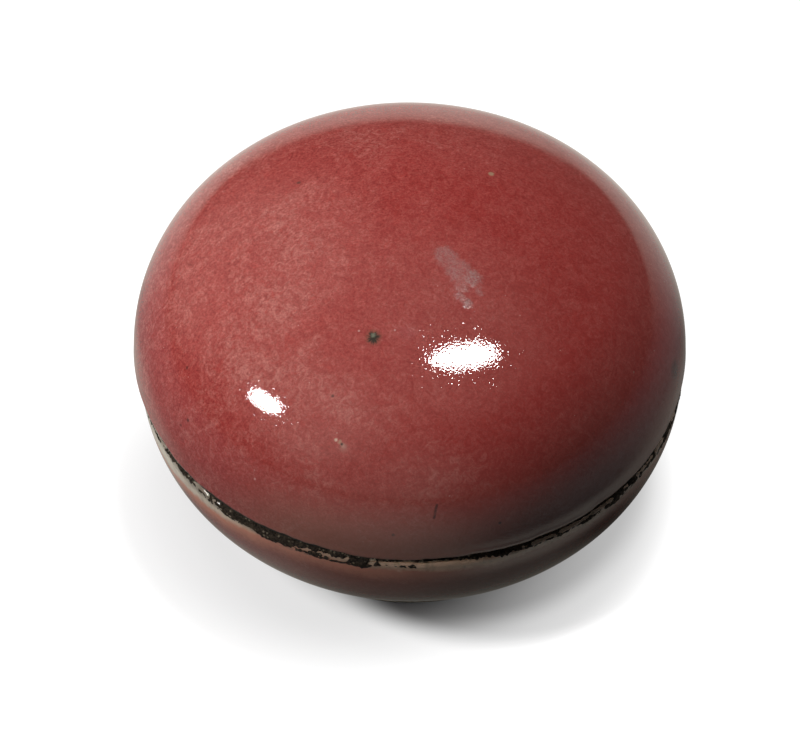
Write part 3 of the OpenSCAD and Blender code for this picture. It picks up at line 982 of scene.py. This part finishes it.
def dirt_and_shadow_piece(name, turn, start, depth, seed, material):
    """Dirt, in places also painted shadow, that follows the seat's rounded edge and the bowl's
    side, from start to depth
    """
    # The line that the dirt follows: over the seat's rounded edge and down the side
    rim_side = angle_at_height(BOWL_DOME, 0, RIM_ROUND - BOWL_BELLY_DROP)
    side_r = float(dome_point(BOWL_DOME, GLAZE_T, rim_side)[0])
    share = np.linspace(0, 1, DIRT_ROWS)[:, None]
    fall = start[None, :] + (depth - start)[None, :] * share
    round_part = np.clip(fall / RIM_ROUND, 0, 1)
    inset = RIM_ROUND * (1 - np.sqrt(np.clip(1 - (1 - round_part) ** 2, 0, 1)))
    coat = GLAZE_T * ease(fall, 0.55, 1.0)
    belly = float(BOWL_DOME[0]) - GLAZE_T - side_r
    radius = side_r + belly * ease(fall, 0, 1.1) - inset + coat
    lump_at = np.stack([radius * np.sin(turn), -radius * np.cos(turn), fall], -1)
    thick = 0.10 + 0.035 * lumps(lump_at, 1.3, seed) + 0.03 * lumps(lump_at, 0.55, seed + 1)
    thick = np.clip(thick, 0.02, 0.2) * np.sin(np.pi * (0.12 + 0.88 * share)) ** 0.6
    thick[-1] = -0.05
    thick[0] = np.minimum(thick[0], 0.03)
    # Where there is none it lies under the surface
    there = ease(depth - start, 0.02, 0.15)[None, :]
    thick = thick * there - 0.08 * (1 - there)
    z = JOINT_Z - 0.03 - fall
    face = np.stack([radius + thick, z], -1)
    back = np.stack([radius - 0.25, z], -1)
    turned(name, [face[::-1], back], turn, bowl_field, None, "bowl", material,
           sharp=60)


def build_crust():
    """Dirt packed round the seat's edge, ragged below and broken where the edge is clean; at the
    right it is also painted shadow of the joint
    """
    turn = turn_places(CRUST_PLACES)
    degrees = np.degrees(turn)
    material = grime_and_shadow()
    depth = round_turn(degrees, UPPER_DIRT_AND_SHADOW)
    # The edge of the dirt is more even at the right, where it paints the joint's shadow
    uneven = 1 - 0.6 * near(degrees, 42, 26)
    depth = depth * (1 + 0.17 * uneven * ragged(turn, 40, 520, 0.7, 61))
    depth = depth + 0.08 * uneven * ragged(turn, 120, 640, 0.5, 62)
    for middle, half_width, chip in CHIPS:
        depth = depth + 0.5 * chip * chip_at(degrees, middle, half_width)
    depth = np.clip(depth, 0.02, 2.1)
    dirt_and_shadow_piece("joint_dirt_and_shadow", turn, np.zeros(CRUST_PLACES), depth, 64, material)
    middle = round_turn(degrees, [row[:2] for row in LOWER_DIRT])
    middle = middle + 0.07 * ragged(turn, 30, 300, 0.7, 66)
    half = round_turn(degrees, [(row[0], row[2]) for row in LOWER_DIRT])
    half = np.clip(half + 0.10 * ragged(turn, 40, 420, 0.7, 67), 0, 1.1)
    start = np.maximum(middle - half, 0.05)
    dirt_and_shadow_piece("joint_crumbs", turn, start, np.maximum(middle + half, start), 68, material)


WHITE = white_glaze("clear_white_glaze")
build_cover()
build_bowl()
build_paste()
build_crust()

# The camera looks along +Y, down on the joint's middle
ELEVATION = math.radians(47.5)
DISTANCE = 0.532
IMAGE_WIDTH = 800
PIXEL_FOCAL = 3845.0
ROLL = math.radians(0.77)
# Where the joint's middle lies in the picture, right of and above the centre, in pixels
AIM_RIGHT = 9.6
AIM_UP = 21.5
JOINT = Vector((0, 0, JOINT_Z * MM))

forward = Vector((0, math.cos(ELEVATION), -math.sin(ELEVATION)))
upward = Vector((0, math.sin(ELEVATION), math.cos(ELEVATION)))
right = Vector((1, 0, 0))
right, upward = (right * math.cos(ROLL) + upward * math.sin(ROLL),
                 upward * math.cos(ROLL) - right * math.sin(ROLL))
look = (forward - right * (AIM_RIGHT / PIXEL_FOCAL) - upward * (AIM_UP / PIXEL_FOCAL))
look.normalize()
right = (right - look * right.dot(look)).normalized()
upward = right.cross(look)

camera_data = bpy.data.cameras.new("camera")
camera_data.sensor_width = 36
camera_data.lens = PIXEL_FOCAL * camera_data.sensor_width / IMAGE_WIDTH
camera_data.clip_start = 0.01
camera_data.clip_end = 50
camera = add("camera", camera_data)
turn_to = Matrix((right, upward, -look)).transposed().to_4x4()
camera.matrix_world = Matrix.Translation(JOINT - forward * DISTANCE) @ turn_to
bpy.context.scene.camera = camera


# Lamps
def way_of(elevation, azimuth):
    """A direction. Azimuth 0 is +X and 90 is the back."""
    e, a = math.radians(elevation), math.radians(azimuth)
    return Vector((math.cos(e) * math.cos(a), math.cos(e) * math.sin(a), math.sin(e)))


def lamp(name, place, out, size, radiance, long_way=None, glossy=False):
    """A soft elliptical lamp that faces the box; out leads from the box to it. It gives
    either a highlight or soft light."""
    across = Vector(long_way) if long_way else Vector((0, 0, 1)).cross(out)
    across = (across - out * across.dot(out)).normalized()
    data = bpy.data.lights.new(name, "AREA")
    data.shape = "ELLIPSE"
    data.size, data.size_y = size
    area = math.pi * size[0] * size[1] / 4
    data.energy = radiance * area * math.pi
    made = add(name, data)
    frame_of = Matrix((across, out.cross(across), out)).transposed().to_4x4()
    made.matrix_world = Matrix.Translation(place) @ frame_of
    made.visible_camera = False
    made.visible_glossy = glossy
    made.visible_diffuse = not glossy


# Two small lamps give the two highlights. Each is placed from the joint's middle, and its
# highlight lies where the mirror direction on the cover leads to it.
lamp("lamp_top_right", JOINT + Vector((0.1680, -0.0745, 0.5965)),
     Vector((0.2500, -0.0860, 0.9640)), (0.208, 0.062), 80, (-0.930, -0.29, 0.227), True)
LEFT_PLACE = JOINT + Vector((-0.4832, -0.2227, 0.3421))
LEFT_OUT = Vector((-0.7743, -0.3293, 0.5404))
LEFT_LONG_WAY = (-0.547, 0.777, -0.311)
LEFT_SIZE = (0.134, 0.105)
lamp("lamp_left", LEFT_PLACE, LEFT_OUT, LEFT_SIZE, 84, LEFT_LONG_WAY, True)
# The left lamp's soft light, weaker than its highlight
lamp("soft_front_left", LEFT_PLACE, LEFT_OUT, LEFT_SIZE, 30, LEFT_LONG_WAY)

# Broad lamps give the soft light: elevation, azimuth, distance and size in metres, radiance
SOFT_LAMPS = {
    "soft_top": (76, 168, 1.0, 0.45, 11.0),
    "soft_left": (40, 180, 1.0, 0.45, 4.1),
    "soft_back_left": (5, 150, 1.0, 0.45, 3.2),
    "soft_back_right": (5, 47, 1.0, 0.45, 5.9),
}
for name, (elevation, azimuth, distance, size, radiance) in SOFT_LAMPS.items():
    out = way_of(elevation, azimuth)
    lamp(name, JOINT + Vector((0, 0, 0.012)) + out * distance, out, (size, size), radiance)

# The colour of all that the glaze mirrors, apart from the lamps
WARM = (1.04, 1.0, 0.86)
# Floor and surroundings. The camera sees them white, and so do mirrored rays, through a
# graded scrim round the box: clear high at the left, and dark at the right and in front.
FLOOR_REACH = 3.0
FLOOR_SEEN = 0.205
FLOOR_IN_GLOSS = 0.34
FLOOR_NEAR_IN_GLOSS = 0.12
FLOOR_LIT = 0.06
SKY_LIGHT = 0.012
SCRIM_RADIUS = 2.6
SCRIM_CLEAR = 0.14
# How the floor brightens round the box where the camera sees it, which paints the box's shadow:
# for each rise its middle, the distances from it where it starts and ends in millimetres, and its
# height
SHADOW_GLOW_RISES = [
    ((4.8, -0.8, 0.0), 26.8, 31.5, 0.23),
    ((-13.1, -7.0, 0.0), 20.6, 45.8, 0.49),
    ((-3.8, -2.5, 0.0), 36.4, 50.4, 0.90),
    ((13.6, -1.7, 0.0), 28.6, 33.9, 0.47),
]
# Clear parts of the scrim: elevation and azimuth of the middle, the angles from it where
# the part is still full and where it ends, and how clear it is
SCRIM_PARTS = [
    (32, 146, 10, 44, 0.62),
    (40, -142, 6, 36, 0.70),
    (12, -105, 10, 45, 0.38),
    (90, 0, 5, 50, 0.48),
]
# Bright parts of the floor as the glaze sees it, from the joint's height
FLOOR_PARTS = [(-28, -105, 8, 42, 0.30)]
# Brighter places of the floor that show in the glaze at the box's sides: middle, the
# distances from it where each is still full and where it ends in mm, and how bright it is
FLOOR_SPOTS = [
    ((-40, -26, 0), 16, 36, 0.13),
    ((-52, 8, 0), 10, 30, 0.34),
    ((0, -36, 0), 24, 44, 0.09),
    ((54, 2, 0), 10, 32, 0.10),
]
# A ring of floor at the right that shows in the band under the joint: the distances where
# it rises and where it falls, in mm, and how bright it is
FLOOR_RING = (42, 50, 54, 64, 0.26)
# The floor behind the box is the brightest: how bright, and where it fades out, in mm
FLOOR_BEHIND = 0.50
BEHIND_NEAR = (30, 50)
BEHIND_FAR = (300, 1200)


def bright_parts(p, way, parts, level):
    """How bright a direction is: a level, and the parts round it"""
    for elevation, azimuth, full, ends, strength in parts:
        dot = p.dot(way, tuple(way_of(elevation, azimuth)))
        far, close = math.cos(math.radians(ends)), math.cos(math.radians(full))
        level = p.plus(level, p.ease(dot, far, close, 0, strength))
    return level


def build_floor():
    p = Paint("floor", rough=1.0, Specular_IOR_Level=0.0)
    seen = p.ray_is("Is Camera Ray", "Is Transmission Ray")
    mirrored = p.ray_is("Is Glossy Ray")
    # It brightens to white away from the box, where it is seen; near the box the rises paint its
    # shadow
    shadow_glow = 0.0
    for middle, start, end, height in SHADOW_GLOW_RISES:
        shadow_glow = p.plus(shadow_glow, p.ease(p.away_from(middle), start, end, 0, height))
    shadow_glow = p.times(p.math("MINIMUM", shadow_glow, 1), seen)
    # In the glaze it is brighter behind the box, and goes over into the scrim far away
    way = p.vector("NORMALIZE", p.vector("SUBTRACT", p.place, (0, 0, JOINT_Z)))
    away = p.vector("LENGTH", p.place)
    far_off = p.ease(away, 90, 700)
    open_part = p.ease(away, 42, 90)
    level = p.times(far_off, SCRIM_CLEAR)
    level = p.plus(level, p.times(open_part, bright_parts(p, way, FLOOR_PARTS, 0.0)))
    behind = p.ease(p.math("DIVIDE", p.y, away), 0.35, 0.85, 0, FLOOR_BEHIND)
    behind = p.times(behind, p.ease(away, *BEHIND_NEAR), p.ease(away, *BEHIND_FAR, 1, 0))
    level = p.plus(level, behind)
    for middle, full, ends, height in FLOOR_SPOTS:
        level = p.plus(level, p.ease(p.away_from(middle), full, ends, height, 0))
    rises, full, falls, ends, height = FLOOR_RING
    ring = p.times(p.ease(away, rises, full), p.ease(away, falls, ends, 1, 0),
                   p.ease(p.x, 4, 24, 0, height), p.ease(p.y, -38, -6, 1, 0.1))
    level = p.times(p.plus(level, ring), mirrored)
    in_gloss = p.mix(open_part, (FLOOR_NEAR_IN_GLOSS,) * 3, (FLOOR_IN_GLOSS,) * 3)
    shade = p.mix(mirrored, (FLOOR_LIT,) * 3, p.mix(far_off, in_gloss, (0, 0, 0)))
    shade = p.mix(seen, shade, (FLOOR_SEEN,) * 3)
    p.put(p.shader.inputs["Emission Color"], p.mix(mirrored, (1, 1, 1), WARM))
    p.put(p.shader.inputs["Emission Strength"], p.plus(shadow_glow, level))
    corners = [(x * FLOOR_REACH, y * FLOOR_REACH, 0)
               for x, y in ((-1, -1), (1, -1), (1, 1), (-1, 1))]
    add_mesh("floor", corners, [(0, 1, 2, 3)], p.finish(colour=shade))


def build_scrim():
    """A graded scrim that only mirrored rays meet"""
    columns, rows = 64, 24
    vertices = [tuple(way_of(90 * i / rows - 2, 360 * k / columns) * SCRIM_RADIUS)
                for i in range(rows + 1) for k in range(columns)]
    sides = [(i * columns + k, i * columns + (k + 1) % columns)
             for i in range(rows) for k in range(columns)]
    faces = [(a, b, b + columns, a + columns) for a, b in sides]
    p = Paint("scrim")
    clear = p.node("ShaderNodeBsdfTransparent")
    level = bright_parts(p, p.vector("NORMALIZE", p.place), SCRIM_PARTS, SCRIM_CLEAR)
    p.put(clear.inputs["Color"], p.vector("SCALE", WARM, scale=level))
    p.links.new(clear.outputs[0], p.surface)
    scrim = add_mesh("scrim", vertices, faces, p.material)
    scrim.visible_camera = False
    scrim.visible_diffuse = False
    scrim.visible_transmission = False
    scrim.visible_shadow = False


def build_world():
    world = bpy.data.worlds.new("world")
    bpy.context.scene.world = world
    sky = Nodes(world)
    seen = sky.ray_is("Is Camera Ray", "Is Glossy Ray", "Is Transmission Ray")
    light = sky.nodes["Background"].inputs
    sky.put(light["Strength"], sky.line(seen, 0, 1, SKY_LIGHT, 1))
    sky.put(light["Color"], (1, 1, 1))


build_floor()
build_scrim()
build_world()

bpy.context.scene.view_settings.view_transform = "Standard"
